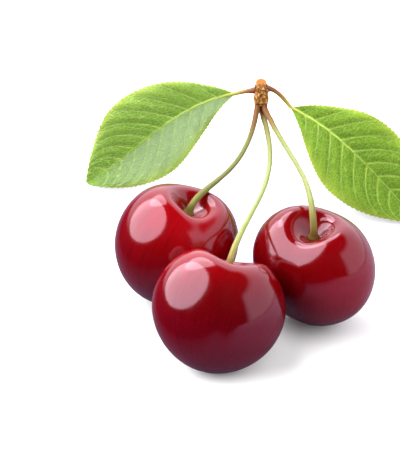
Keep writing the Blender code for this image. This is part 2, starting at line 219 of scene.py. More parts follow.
def grid_mesh(name, points, round_columns=False, capped=False):
    """A smooth mesh over rows and columns of points, joined round its columns and capped on request."""
    rows, columns = points.shape[:2]
    index = np.arange(rows * columns).reshape(rows, columns)
    left = index if round_columns else index[:, :-1]
    right = np.roll(index, -1, axis=1) if round_columns else index[:, 1:]
    faces = np.stack([left[:-1], right[:-1], right[1:], left[1:]], axis=-1).reshape(-1, 4).tolist()
    if capped:
        faces.append(index[0][::-1].tolist())
        faces.append(index[-1].tolist())
    mesh = bpy.data.meshes.new(name)
    mesh.from_pydata((points.reshape(-1, 3) * MM).tolist(), [], faces)
    mesh.shade_smooth()
    return mesh


def keep_values(mesh, **values):
    """Keeps named numbers for the vertices, which the materials read."""
    for name, numbers in values.items():
        layer = mesh.attributes.new(name, "FLOAT", "POINT")
        layer.data.foreach_set("value", np.ascontiguousarray(numbers, np.float32).ravel())


def add_piece(name, mesh, node, materials):
    """A piece that rides on the body and takes the place of a node of the part."""
    piece = bpy.data.objects.new(name, mesh)
    bpy.context.scene.collection.objects.link(piece)
    for material in materials:
        mesh.materials.append(material)
    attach(piece, "root")
    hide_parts(node)
    return piece


def swept(path, radii, sides, relief=None):
    """Rings of points round a path. The relief is added to the radius, by ring and by angle."""
    ahead = unit(np.gradient(path, axis=0))
    side = np.cross(ahead[0], (0.0, 0.0, 1.0))
    if np.linalg.norm(side) < 0.1:
        side = np.cross(ahead[0], (1.0, 0.0, 0.0))
    rings = []
    angles = np.linspace(0, 2 * math.pi, sides, endpoint=False)
    for step, (point, way, radius) in enumerate(zip(path, ahead, radii)):
        side = unit(side - way * (side @ way))
        up = np.cross(side, way)
        out = np.cos(angles)[:, None] * side + np.sin(angles)[:, None] * up
        reach = radius + (relief[step] if relief is not None else 0)
        rings.append(point + out * np.reshape(np.broadcast_to(reach, sides), (sides, 1)))
    return np.array(rings)


# --- Shader helpers


def new_material(name):
    material = bpy.data.materials.new(name)
    material.use_nodes = True
    return material, material.node_tree, material.node_tree.nodes["Principled BSDF"]


def add(tree, kind, inputs=None, **settings):
    """A node with these settings. An input is given as a value or as the socket that feeds it."""
    node = tree.nodes.new(kind)
    for key, value in settings.items():
        setattr(node, key, value)
    for key, value in (inputs or {}).items():
        if isinstance(value, bpy.types.NodeSocket):
            tree.links.new(value, node.inputs[key])
        else:
            node.inputs[key].default_value = value
    return node


def value_of(tree, name):
    """One of the numbers that keep_values kept for the vertices."""
    return add(tree, "ShaderNodeAttribute", attribute_name=name).outputs["Fac"]


def ramp(tree, fac, stops):
    """Colours between stops that are given from low to high."""
    node = add(tree, "ShaderNodeValToRGB", {"Fac": fac})
    elements = node.color_ramp.elements
    elements[-1].position, elements[-1].color = stops[-1][0], (*stops[-1][1], 1)
    elements[0].position, elements[0].color = stops[0][0], (*stops[0][1], 1)
    for place, colour in stops[1:-1]:
        elements.new(place).color = (*colour, 1)
    return node.outputs["Color"]


def maths(tree, operation, first, second, clamp=False):
    node = add(tree, "ShaderNodeMath", {0: first, 1: second}, operation=operation, use_clamp=clamp)
    return node.outputs[0]


def mixed(tree, fac, first, second, blend="MIX"):
    node = add(tree, "ShaderNodeMix", data_type="RGBA", blend_type=blend)
    for socket, value in (("Factor", fac), ("A", first), ("B", second)):
        own = next(s for s in node.inputs if s.name == socket and s.enabled)
        if isinstance(value, bpy.types.NodeSocket):
            tree.links.new(value, own)
        else:
            own.default_value = value if socket == "Factor" else (*value, 1)
    return next(s for s in node.outputs if s.enabled)


def fade(tree, value, start, end, at_start, at_end):
    """Runs evenly from one strength to another between two values, and stays level beyond them."""
    return add(tree, "ShaderNodeMapRange", {
        "Value": value, "From Min": start, "From Max": end, "To Min": at_start, "To Max": at_end,
    }).outputs["Result"]


def flat(tree, x, y=0.0):
    """A place on a flat sheet, for a texture."""
    return add(tree, "ShaderNodeCombineXYZ", {0: x, 1: y}).outputs[0]


def noise(tree, scale, detail, place, roughness=0.5):
    return add(tree, "ShaderNodeTexNoise", {
        "Scale": scale, "Detail": detail, "Roughness": roughness, "Vector": place,
    }).outputs["Fac"]


def cell_edges(tree, scale, place):
    """How far each place is from the edges of irregular cells."""
    cells = add(tree, "ShaderNodeTexVoronoi", {"Scale": scale, "Vector": place}, feature="DISTANCE_TO_EDGE")
    return cells.outputs["Distance"]


def own_place(tree):
    return add(tree, "ShaderNodeTexCoord").outputs["Object"]


def bumped(tree, shader, height, distance, strength=1.0):
    node = add(tree, "ShaderNodeBump", {"Height": height, "Distance": distance, "Strength": strength})
    tree.links.new(node.outputs["Normal"], shader.inputs["Normal"])


def new_group(name, inputs, outputs):
    """A node group with these inputs and outputs, by name and kind. Returns it with the sockets inside it."""
    group = bpy.data.node_groups.new(name, "ShaderNodeTree")
    for socket, kind in inputs.items():
        group.interface.new_socket(socket, in_out="INPUT", socket_type="NodeSocket" + kind)
    for socket, kind in outputs.items():
        group.interface.new_socket(socket, in_out="OUTPUT", socket_type="NodeSocket" + kind)
    given = group.nodes.new("NodeGroupInput").outputs
    put_out = group.nodes.new("NodeGroupOutput").inputs
    return group, given, put_out


def placed(tree, group, inputs):
    """The outputs of a node group that is placed in a material with its own values."""
    return add(tree, "ShaderNodeGroup", inputs, node_tree=group).outputs


# --- Effects that several materials share


def long_grain_effect():
    """Fine lines that run along a piece: their relief, and a mask of the deeper ones."""
    group, given, put_out = new_group(
        "long grain",
        {
            "Across": "Float", "Along": "Float", "Lines Across": "Float", "Lines Along": "Float",
            "Detail": "Float", "Mask Start": "Float", "Mask End": "Float", "Mask Strength": "Float",
        },
        {"Relief": "Float", "Mask": "Float"},
    )
    across = maths(group, "MULTIPLY", given["Across"], given["Lines Across"])
    along = maths(group, "MULTIPLY", given["Along"], given["Lines Along"])
    relief = noise(group, 1.0, given["Detail"], flat(group, across, along))
    mask = fade(group, relief, given["Mask Start"], given["Mask End"], 0.0, given["Mask Strength"])
    group.links.new(relief, put_out["Relief"])
    group.links.new(mask, put_out["Mask"])
    return group


def patches_effect():
    """A mask of soft patches, all over a piece."""
    group, given, put_out = new_group(
        "patches",
        {
            "Place": "Vector", "Scale": "Float", "Detail": "Float", "Roughness": "Float",
            "Mask Start": "Float", "Mask End": "Float", "Mask Strength": "Float",
        },
        {"Mask": "Float"},
    )
    cloud = noise(group, given["Scale"], given["Detail"], given["Place"], given["Roughness"])
    mask = fade(group, cloud, given["Mask Start"], given["Mask End"], 0.0, given["Mask Strength"])
    group.links.new(mask, put_out["Mask"])
    return group


def cracks_effect():
    """A mask of thin cracks between rough cells of bark or dry tissue."""
    group, given, put_out = new_group(
        "cracks",
        {"Place": "Vector", "Scale": "Float", "Width": "Float", "Mask Strength": "Float"},
        {"Mask": "Float"},
    )
    edges = cell_edges(group, given["Scale"], given["Place"])
    mask = fade(group, edges, 0.02, given["Width"], given["Mask Strength"], 0.0)
    group.links.new(mask, put_out["Mask"])
    return group


def leaf_tissue_effect():
    """Green tissue between pale veins, with two nets of smaller veins that sink into the surface."""
    group, given, put_out = new_group(
        "leaf tissue",
        {
            "Along": "Float", "Across": "Float", "Between Veins": "Float", "Vein": "Float", "Painted Sheen": "Float",
            "Margin": "Float", "Dark": "Color", "Light": "Color", "Vein Colour": "Color",
        },
        {"Colour": "Color", "Height": "Float"},
    )
    sheet = flat(group, given["Along"], given["Across"])
    bend = add(group, "ShaderNodeTexNoise", {"Scale": 0.9, "Detail": 2.0, "Vector": sheet}).outputs["Color"]
    bend = add(group, "ShaderNodeVectorMath", {0: bend, 1: (0.7, 0.7, 0.0)}, operation="MULTIPLY").outputs[0]
    bent_sheet = add(group, "ShaderNodeVectorMath", {0: sheet, 1: bend}, operation="ADD").outputs[0]
    net = ramp(group, cell_edges(group, 1.35, bent_sheet), [
        (0.0, (1, 1, 1)), (0.07, (0.35, 0.35, 0.35)), (0.2, (0, 0, 0)),
    ])
    small_net = fade(group, cell_edges(group, 3.6, bent_sheet), 0.0, 0.14, 1.0, 0.0)
    lightness = maths(group, "ADD", noise(group, 0.22, 4, sheet), given["Between Veins"])
    colour = mixed(group, maths(group, "MULTIPLY", lightness, 0.6), given["Dark"], given["Light"])
    colour = mixed(group, maths(group, "MULTIPLY", small_net, 0.2), colour, given["Vein Colour"])
    colour = mixed(group, maths(group, "MULTIPLY", net, 0.42), colour, given["Vein Colour"])
    colour = mixed(group, given["Vein"], colour, given["Vein Colour"])
    # Painted sheen: a pale grey green that stands for light reflected off the half towards the fruits.
    colour = mixed(group, given["Painted Sheen"], colour, (0.19, 0.26, 0.145))
    colour = mixed(group, maths(group, "MULTIPLY", given["Margin"], 0.85), colour, (0.38, 0.49, 0.05))
    sunk = maths(group, "MULTIPLY", net, -0.7)
    height = maths(group, "ADD", sunk, maths(group, "MULTIPLY", small_net, -0.35))
    group.links.new(colour, put_out["Colour"])
    group.links.new(height, put_out["Height"])
    return group


# --- Materials


def cherry_skin_finish(long_grain, patches):
    """Dark red glossy skin with faint streaks and pinpoints, with painted light and shade by height: deeper low
    down, brighter on the shoulders.
    """
    material, tree, shader = new_material("cherry skin")
    place = own_place(tree)
    low_to_high = value_of(tree, "height")
    # Painted light and shade: the red changes with height to stand for how the light falls on a fruit, with a
    # purplish painted reflection of the table at the lower end.
    colour = ramp(tree, low_to_high, [
        (0.0, (0.13, 0.0002, 0.0075)), (0.3, (0.105, 0.0002, 0.0040)),
        (0.65, (0.094, 0.0002, 0.0008)), (1.0, (0.13, 0.0003, 0.0010)),
    ])
    # Painted light: a brighter red on the side of each fruit where the light falls and glows through the skin.
    colour = mixed(tree, value_of(tree, "blush"), colour, (0.32, 0.0008, 0.0034))
    cloud = placed(tree, patches, {
        "Place": place, "Scale": 70, "Detail": 3, "Roughness": 0.5,
        "Mask Start": 0.35, "Mask End": 0.75, "Mask Strength": 0.6,
    })
    colour = mixed(tree, cloud["Mask"], colour, (0.14, 0.0007, 0.002))
    streaks = placed(tree, long_grain, {
        "Across": value_of(tree, "around"), "Along": low_to_high, "Lines Across": 41.6, "Lines Along": 3.12,
        "Detail": 5, "Mask Start": 0.45, "Mask End": 0.8, "Mask Strength": 0.55,
    })
    colour = mixed(tree, streaks["Mask"], colour, (0.03, 0.0003, 0.0012))
    pinpoints = add(tree, "ShaderNodeTexVoronoi", {"Scale": 1100.0, "Vector": place}).outputs["Distance"]
    colour = mixed(tree, fade(tree, pinpoints, 0.08, 0.17, 0.13, 0.0), colour, (0.34, 0.04, 0.02))
    scar = value_of(tree, "scar")
    colour = mixed(tree, scar, colour, (0.13, 0.035, 0.010))
    tree.links.new(colour, shader.inputs["Base Color"])
    gloss = fade(tree, noise(tree, 160, 3, place), 0.3, 0.75, 0.09, 0.16)
    gloss = mixed(tree, scar, gloss, (0.5, 0.5, 0.5))
    tree.links.new(gloss, shader.inputs["Roughness"])
    shader.inputs["Subsurface Weight"].default_value = 0.1
    shader.inputs["Subsurface Radius"].default_value = (1.0, 0.06, 0.04)
    shader.inputs["Subsurface Scale"].default_value = 0.003
    shader.inputs["IOR"].default_value = 1.5
    shader.inputs["Specular IOR Level"].default_value = 0.66
    shader.inputs["Specular Tint"].default_value = (1.0, 0.7, 0.86, 1)
    bumped(tree, shader, noise(tree, 420, 4, place), 0.04 * MM, 0.4)
    return material


def stalk_finish(long_grain):
    """Light green, red brown towards the spur and brown at the foot in the fruit, with long fine ridges."""
    material, tree, shader = new_material("stalk green")
    along = value_of(tree, "along")
    colour = ramp(tree, along, [
        (0.0, (0.08, 0.018, 0.004)), (0.025, (0.16, 0.05, 0.012)), (0.05, (0.26, 0.20, 0.06)),
        (0.14, (0.27, 0.31, 0.10)), (0.6, (0.27, 0.325, 0.11)), (0.85, (0.22, 0.23, 0.06)),
        (1.0, (0.14, 0.06, 0.012)),
    ])
    colour = mixed(tree, value_of(tree, "darkness"), colour, (0.12, 0.12, 0.022))
    ridges = placed(tree, long_grain, {
        "Across": value_of(tree, "around"), "Along": along, "Lines Across": 9, "Lines Along": 26,
        "Detail": 6, "Mask Start": 0.42, "Mask End": 0.75, "Mask Strength": 0.6,
    })
    colour = mixed(tree, ridges["Mask"], colour, (0.13, 0.12, 0.022))
    mottled = maths(tree, "ADD", 0.6, maths(tree, "MULTIPLY", noise(tree, 260, 3, own_place(tree)), 0.8))
    browned = maths(tree, "MULTIPLY", value_of(tree, "browned"), mottled, clamp=True)
    colour = mixed(tree, browned, colour, (0.13, 0.020, 0.003))
    tree.links.new(colour, shader.inputs["Base Color"])
    shader.inputs["Roughness"].default_value = 0.58
    shader.inputs["Specular IOR Level"].default_value = 0.25
    shader.inputs["Subsurface Weight"].default_value = 0.1
    shader.inputs["Subsurface Radius"].default_value = (0.6, 0.8, 0.2)
    shader.inputs["Subsurface Scale"].default_value = 0.0006
    bumped(tree, shader, ridges["Relief"], 0.08 * MM, 0.8)
    return material


def spur_finish(cracks):
    """Tan bark with dark cracks and painted shade in the creases round its lumps, and an orange cut end with
    rings and a paler rim.
    """
    material, tree, shader = new_material("spur bark")
    place = own_place(tree)
    bark = ramp(tree, noise(tree, 800, 6, place, 0.65), [
        (0.36, (0.12, 0.03, 0.004)), (0.46, (0.32, 0.125, 0.018)),
        (0.56, (0.44, 0.20, 0.034)), (0.7, (0.56, 0.36, 0.10)),
    ])
    cracked = placed(tree, cracks, {"Place": place, "Scale": 1000, "Width": 0.14, "Mask Strength": 0.8})
    bark = mixed(tree, cracked["Mask"], bark, (0.07, 0.018, 0.003))
    # Painted shade: the bark is darkened in the creases round its lumps.
    bark = mixed(tree, value_of(tree, "crease"), bark, (0.055, 0.013, 0.003))
    from_heart = value_of(tree, "out")
    rings = noise(tree, 1, 2, flat(tree, maths(tree, "MULTIPLY", from_heart, 14.0)))
    wood = ramp(tree, rings, [(0.35, (0.24, 0.075, 0.008)), (0.65, (0.33, 0.125, 0.017))])
    wood = mixed(tree, maths(tree, "GREATER_THAN", from_heart, 0.88), wood, (0.45, 0.18, 0.06))
    tree.links.new(mixed(tree, value_of(tree, "cut"), bark, wood), shader.inputs["Base Color"])
    shader.inputs["Roughness"].default_value = 0.62
    shader.inputs["Specular IOR Level"].default_value = 0.2
    bumped(tree, shader, noise(tree, 1300, 6, place, 0.7), 0.22 * MM)
    return material


def scale_finish(long_grain, patches, cracks):
    """Dry tan scale, darker at its base and edges, with fibres along it, pale patches and cracks."""
    material, tree, shader = new_material("bud scale brown")
    place = own_place(tree)
    along = value_of(tree, "along")
    colour = ramp(tree, along, [
        (0.0, (0.18, 0.05, 0.008)), (0.35, (0.43, 0.20, 0.036)), (1.0, (0.38, 0.16, 0.028)),
    ])
    fibres = placed(tree, long_grain, {
        "Across": value_of(tree, "across"), "Along": along, "Lines Across": 9, "Lines Along": 2,
        "Detail": 5, "Mask Start": 0.4, "Mask End": 0.7, "Mask Strength": 0.7,
    })
    colour = mixed(tree, fibres["Mask"], colour, (0.22, 0.07, 0.015))
    edge = fade(tree, value_of(tree, "edge"), 0.55, 1.0, 0.0, 0.8)
    colour = mixed(tree, edge, colour, (0.13, 0.032, 0.005))
    pale = placed(tree, patches, {
        "Place": place, "Scale": 900, "Detail": 4, "Roughness": 0.6,
        "Mask Start": 0.5, "Mask End": 0.68, "Mask Strength": 0.85,
    })
    colour = mixed(tree, pale["Mask"], colour, (0.56, 0.37, 0.12))
    cracked = placed(tree, cracks, {"Place": place, "Scale": 1100, "Width": 0.16, "Mask Strength": 0.85})
    colour = mixed(tree, cracked["Mask"], colour, (0.11, 0.028, 0.004))
    tree.links.new(colour, shader.inputs["Base Color"])
    shader.inputs["Roughness"].default_value = 0.62
    shader.inputs["Specular IOR Level"].default_value = 0.2
    sunk = maths(tree, "MULTIPLY", cracked["Mask"], -1.5)
    bumped(tree, shader, maths(tree, "ADD", fibres["Relief"], sunk), 0.16 * MM)
    return material


def leaf_stalk_finish():
    """Purplish brown at the spur, yellow green at the blade's base, and paler along the midrib."""
    material, tree, shader = new_material("leaf stalk")
    colour = ramp(tree, value_of(tree, "along"), [
        (0.0, (0.12, 0.016, 0.018)), (0.14, (0.20, 0.05, 0.018)), (0.32, (0.30, 0.17, 0.030)),
        (0.5, (0.33, 0.35, 0.05)), (0.6, (0.32, 0.44, 0.07)), (1.0, (0.34, 0.48, 0.11)),
    ])
    grain = noise(tree, 900, 4, own_place(tree))
    colour = mixed(tree, maths(tree, "MULTIPLY", grain, 0.3), colour, (0.22, 0.22, 0.04))
    tree.links.new(colour, shader.inputs["Base Color"])
    shader.inputs["Roughness"].default_value = 0.55
    shader.inputs["Specular IOR Level"].default_value = 0.3
    bumped(tree, shader, grain, 0.05 * MM)
    return material


def leaf_finish(name, tissue, dark, light, vein_colour, roughness, shine):
    """One side of a leaf, in its own greens and gloss."""
    material, tree, shader = new_material(name)
    leaf = placed(tree, tissue, {
        "Along": value_of(tree, "along"), "Across": value_of(tree, "across"),
        "Between Veins": value_of(tree, "between"), "Vein": value_of(tree, "vein"),
        "Painted Sheen": value_of(tree, "bloom"), "Margin": value_of(tree, "edge"),
        "Dark": (*dark, 1), "Light": (*light, 1), "Vein Colour": (*vein_colour, 1),
    })
    tree.links.new(leaf["Colour"], shader.inputs["Base Color"])
    shader.inputs["Roughness"].default_value = roughness
    shader.inputs["Specular IOR Level"].default_value = shine
    shader.inputs["Subsurface Weight"].default_value = 0.15
    shader.inputs["Subsurface Radius"].default_value = (0.5, 1.0, 0.1)
    shader.inputs["Subsurface Scale"].default_value = 0.0006
    bumped(tree, shader, leaf["Height"], 0.22 * MM)
    return material


# --- Fruits


def fruit_skin(size, polar, around):
    """The skin's points in the fruit's own axes, by the angle from the stalk's end and the angle round it."""
    width, thickness, height = size
    across = np.sin(polar) * (1 + TAPER * np.cos(polar))
    x = width / 2 * across * np.cos(around)
    y = thickness / 2 * across * np.sin(around)
    z = height / 2 * np.cos(polar)
    top = np.maximum(0, np.cos(polar))
    from_suture = (around + 1.5 * math.pi) % (2 * math.pi) - math.pi
    from_far_side = (around + 0.5 * math.pi) % (2 * math.pi) - math.pi
    out = np.hypot(x, y)
    rim = bump(out - RIM_PLACE * CAVITY_REACH, CAVITY_REACH) * top
    z = z - CAVITY_DEPTH * bump(out, CAVITY_REACH) * top
    suture_dip = SUTURE_DIP * bump(from_suture, SUTURE_DIP_WIDTH * DEGREE)
    far_dip = FAR_DIP * bump(from_far_side, FAR_DIP_WIDTH * DEGREE)
    z = z - rim * (suture_dip + far_dip)
    y = y + GROOVE_DEPTH * bump(from_suture, GROOVE_WIDTH * DEGREE) * np.sin(polar)
    return np.stack([x, y, z], axis=-1)


def leaning(lean):
    """The turn that leans a fruit's axis and turns the fruit round it."""
    to_side, to_back, turn = (angle * DEGREE for angle in lean)
    axis = Vector((math.tan(to_side), math.tan(to_back), 1))
    return Vector((0, 0, 1)).rotation_difference(axis) @ Quaternion((0, 0, 1), turn)


def middle_of(points):
    """The middle of the box round a grid of points."""
    return (points.min(axis=(0, 1)) + points.max(axis=(0, 1))) / 2


def make_fruit(name, material):
    """The fruit where the frame holds it. Returns its middle, the bottom of its hollow and its axis."""
    size, lean = FRUITS[name]
    share = np.linspace(0, 1, FRUIT_RINGS + 1)[:, None]
    # The rings lie closer together in the hollow.
    polar = math.pi * share ** (1.35 - 0.35 * share)
    around = np.linspace(-math.pi, math.pi, FRUIT_SEGMENTS, endpoint=False)[None, :]
    own = fruit_skin(size, polar, around)
    low, high = own.min(axis=(0, 1)), own.max(axis=(0, 1))
    own = ((own - low) / (high - low) - 0.5) * np.array(size)
    turn = np.array(leaning(lean).to_matrix())
    box = np.array([list(corner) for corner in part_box(name)]) / MM
    middle = box.mean(axis=0) - middle_of(own @ turn.T)
    seat = middle + turn @ own[0, 0]
    # Painted light: how strongly the brighter red of the lit side shows at each point of the skin.
    blush = np.clip(unit(own) @ unit(np.array(PAINTED_GLOW[name])), 0, 1) ** 2 * PAINTED_GLOW_STRENGTH
    scar = np.broadcast_to(bump(polar - math.pi, SCAR_REACH), own.shape[:2])
    own = own * (1 + SKIN_UNEVENNESS * ripple(own, (9.0, 16.0), 3))[..., None]
    own[..., 2] += SCAR_DEPTH * scar
    mesh = grid_mesh(name + "_skin", own @ turn.T + middle, round_columns=True)
    heights = (own[..., 2] - own[..., 2].min()) / size[2]
    stain = STAIN_STRENGTH * bump(np.hypot(own[..., 0], own[..., 1]), STAIN_REACH) * (own[..., 2] > 0)
    streak_place = np.broadcast_to(np.cos(around), own.shape[:2]) * 3 + np.sin(around) * 2
    keep_values(mesh, height=heights, around=streak_place, scar=np.maximum(scar, stain), blush=blush)
    add_piece(name + "_skin", mesh, name, [material])
    return middle, seat, turn @ np.array((0, 0, 1.0))


# --- Spur and scales


def spur_radius(share):
    radius = SPUR_RADIUS
    for swelling, place, reach in SPUR_SWELLINGS:
        radius = radius + swelling * bump(share - place, reach)
    return radius


def bark_relief(share, angle):
    """The bark's lumps, and the creases round them from 0 to 1, by share of the length and angle."""
    rng = np.random.default_rng(14)
    lump = np.zeros(np.broadcast(share, angle).shape)
    crease = np.zeros(lump.shape)
    for _ in range(LUMPS):
        turn = rng.uniform(0, 2 * math.pi)
        height = rng.uniform(0.04, 0.94)
        wide = rng.uniform(*LUMP_WIDTHS)
        tall = rng.uniform(*LUMP_HEIGHTS)
        away = (angle - turn + math.pi) % (2 * math.pi) - math.pi
        far = np.hypot(away / wide, (share - height) / tall)
        lump += rng.uniform(*LUMP_RISES) * np.exp(-(far**4))
        crease += bump(far - 1.15, 0.16)
    return lump, np.minimum(crease, 1)


def make_spur(spur_frame, material):
    angle = np.linspace(0, 2 * math.pi, SPUR_SIDES, endpoint=False)[None, :]
    share = np.linspace(0, 1, SPUR_ROWS)[:, None]
    lump, crease = bark_relief(share, angle)
    radius = spur_radius(share) + lump - CREASE_DEPTH * crease
    rounding = np.sqrt(np.clip(share / 0.06, 0.35, 1))
    radius = np.where(share < 0.06, radius * rounding, radius)
    y = radius * np.sin(angle)
    cut_height = SPUR_LENGTH + math.tan(SPUR_CUT_SLANT * DEGREE) * (y[-1] - SPUR_CUT_RADIUS)
    side = np.stack([radius * np.cos(angle), y, share * cut_height[None, :]], axis=-1)

    # The cut end: rings that shrink from the edge to the heart, with slight ridges.
    inward = np.linspace(1, 0.02, CUT_RINGS)[1:, None, None]
    edge = side[-1][None]
    heart = edge.mean(axis=1, keepdims=True)
    cut_end = heart + (edge - heart) * inward
    cut_end[..., 2] += 0.03 * np.sin(inward[..., 0] * 20)
    grid = np.concatenate([side, cut_end])
    points = grid @ np.array(spur_frame.to_3x3()).T + np.array(spur_frame.to_translation())
    mesh = grid_mesh("spur_bark", points, round_columns=True, capped=True)
    cut = np.zeros(grid.shape[:2])
    cut[SPUR_ROWS:] = 1
    out = np.ones(grid.shape[:2])
    out[SPUR_ROWS:] = inward[..., 0]
    # Painted shade for the creases round the bark's lumps, kept for the material.
    painted_crease_shade = np.zeros(grid.shape[:2])
    painted_crease_shade[:SPUR_ROWS] = crease
    keep_values(mesh, cut=cut, out=out, crease=painted_crease_shade)
    add_piece("spur_bark", mesh, "spur", [material])


def make_scale(number, spur_frame, material):
    """A small torn scale that stands off the spur round its middle and points at the fruits."""
    turned, begins = SCALES[number]
    along = np.linspace(0, 1, SCALE_ROWS)[:, None]
    across = np.linspace(-0.5, 0.5, SCALE_COLUMNS)[None, :]
    rng = np.random.default_rng(40 + number)
    torn = 1 + 0.12 * rng.uniform(-1, 1, SCALE_COLUMNS)[None, :] * along
    width = SCALE_WIDTH * np.sqrt(1 - 0.96 * along**3)
    height = begins * SPUR_LENGTH - along * torn * SCALE_LENGTH
    radius = spur_radius(height / SPUR_LENGTH) + 0.1 + SCALE_BULGE * np.sin(math.pi * along**0.8) ** 2
    radius = radius - 0.5 * np.abs(across) ** 2 + 0.03 * np.cos(across * 30)
    angle = turned * DEGREE + across * width / radius
    grid = np.stack([radius * np.cos(angle), radius * np.sin(angle), height], axis=-1)
    points = grid @ np.array(spur_frame.to_3x3()).T + np.array(spur_frame.to_translation())
    name = f"bud_scale_{number + 1}"
    mesh = grid_mesh(name + "_shell", points)
    edge = np.maximum(2 * np.abs(across), along**3)
    along, across = np.broadcast_arrays(along, across)
    keep_values(mesh, along=along, across=across, edge=edge)
    piece = add_piece(name + "_shell", mesh, name, [material])
    shell = piece.modifiers.new("thickness", "SOLIDIFY")
    shell.thickness = SCALE_THICKNESS * MM
    shell.offset = 0


# --- Stalks


def distances_along(path):
    return np.concatenate([[0], np.cumsum(np.linalg.norm(np.diff(path, axis=0), axis=1))])


def stalk_path(name, seat, axis, spur_frame):
    """From inside the fruit's hollow, straight out, then in one bend to its own place on the spur's end."""
    _, place_angle, spread, foot_reach, top_share = STALKS[name]
    place_angle *= DEGREE
    leaves = Vector(spread).normalized()
    slant = leaves.angle(spur_frame.to_3x3() @ Vector((0, 0, -1)))
    side = Vector((math.cos(place_angle), math.sin(place_angle), 0)) * STALK_TOP_SPACING
    end = spur_frame @ (side - Vector((0, 0, 0.3 + STALK_TOP_RADIUS * math.tan(slant))))
    start = seat + axis * FOOT_LIFT
    top_reach = top_share * np.linalg.norm(np.array(end) - start)
    shares = np.linspace(0, 1, STALK_POINTS) ** 1.25
    path = bezier(start, start + axis * foot_reach, np.array(end + leaves * top_reach), np.array(end), shares)
    in_hollow = [seat + axis * lift for lift in (-0.1, 0.25, 0.6)]
    in_spur = np.array(spur_frame @ (side * 0.8 + Vector((0, 0, 0.5))))
    return np.concatenate([in_hollow, path, [(path[-1] + in_spur) / 2, in_spur]])


def stalk_radii(steps):
    """Widest at the foot, with a lip round it, and a little wider again where it joins the spur."""
    radii = STALK_RADIUS + (NECK_RADIUS - STALK_RADIUS) * bump(steps, 4 * FOOT_LENGTH)
    radii += (FOOT_RADIUS - NECK_RADIUS) * bump(steps, FOOT_LENGTH / 2)
    radii += 0.3 * bump(steps - 0.3, 0.35)
    return radii + (STALK_TOP_RADIUS - STALK_RADIUS) * bump(steps / steps[-1] - 1, 0.2)


def make_stalk(name, fruits, spur_frame, material):
    _, seat, axis = fruits[STALKS[name][0]]
    path = stalk_path(name, seat, axis, spur_frame)
    steps = distances_along(path)
    along = (steps / steps[-1])[:, None]
    angle = np.linspace(0, 2 * math.pi, STALK_SIDES, endpoint=False)[None, :]
    relief = 0.025 * np.sin(5 * angle + 3 * along) + 0.012 * np.sin(9 * angle + steps[:, None] * 0.2)
    grid = swept(path, stalk_radii(steps), STALK_SIDES, relief)
    grid += 0.03 * ripple(grid, (1.7, 4.0), 21)[..., None]
    mesh = grid_mesh(name + "_stem", grid, round_columns=True, capped=True)
    from_spur = (steps[-1] - steps)[:, None]
    browned = np.clip(1 - from_spur / STALK_BROWNING[name], 0, 1) ** 0.6
    shape = grid.shape[:2]
    keep_values(
        mesh,
        along=np.broadcast_to(along, shape),
        around=np.broadcast_to(np.cos(angle) + 2 * np.sin(angle), shape),
        browned=browned * (0.85 + 0.15 * np.cos(angle - 2.6)),
        darkness=np.full(shape, STALK_DARKNESS[name]),
    )
    add_piece(name + "_stem", mesh, name, [material])


# --- Leaves


def blade_half_width(share, half_width):
    full = np.maximum(0, np.sin(math.pi * share**1.28)) ** 0.8
    return BLADE_END_WIDTH + (half_width - BLADE_END_WIDTH) * full * (1 - BLADE_TIP_TAPER * share**3)


def vein_field(share, side_share, length, half_width, first):
    """How strongly a side vein shows at each place of one half, and how far off it is in millimetres."""
    strength = np.zeros(np.broadcast(share, side_share).shape)
    nearest = np.full(strength.shape, 9.0)
    for number in range(VEINS_A_SIDE):
        start = first + (LAST_VEIN - first) * number / (VEINS_A_SIDE - 1)
        reach = blade_half_width(min(start + 0.06, 1.0), half_width)
        ahead = reach * (0.75 * side_share + 0.3 * side_share**2) / length
        away = np.abs(share - start - ahead) * length * 0.72
        width = VEIN_WIDTH * (1 - 0.55 * side_share)
        strength = np.maximum(strength, bump(away, width) * (1 - 0.6 * side_share**2))
        nearest = np.minimum(nearest, away)
    return strength, nearest


def leaf_line(name, spur_frame):
    """Where a leaf's stalk leaves the spur, the way out of the spur there, and the blade's middle line."""
    where, turned, stalk_way, stalk_length, bearing, length, _, _ = LEAVES[name]
    turned *= DEGREE
    bearing *= DEGREE
    outward = np.array(spur_frame.to_3x3() @ Vector((math.cos(turned), math.sin(turned), 0)))
    start = np.array(spur_frame @ Vector((0, 0, where * SPUR_LENGTH))) + outward * (spur_radius(where) + 0.3)
    base = start + unit(np.array(stalk_way)) * stalk_length
    way = np.array((math.cos(bearing), math.sin(bearing), 0))
    run = math.sqrt(length**2 - (base[2] - LEAF_DROP) ** 2)
    tip = np.array((base[0], base[1], LEAF_DROP)) + way * run
    up = np.array((0, 0, 1.0))
    shares = np.linspace(0, 1, BLADE_ROWS + 1)
    line = bezier(base, base + way * length * 0.35, tip + (up * 0.6 - way) * length * 0.3, tip, shares)
    return start, outward, line


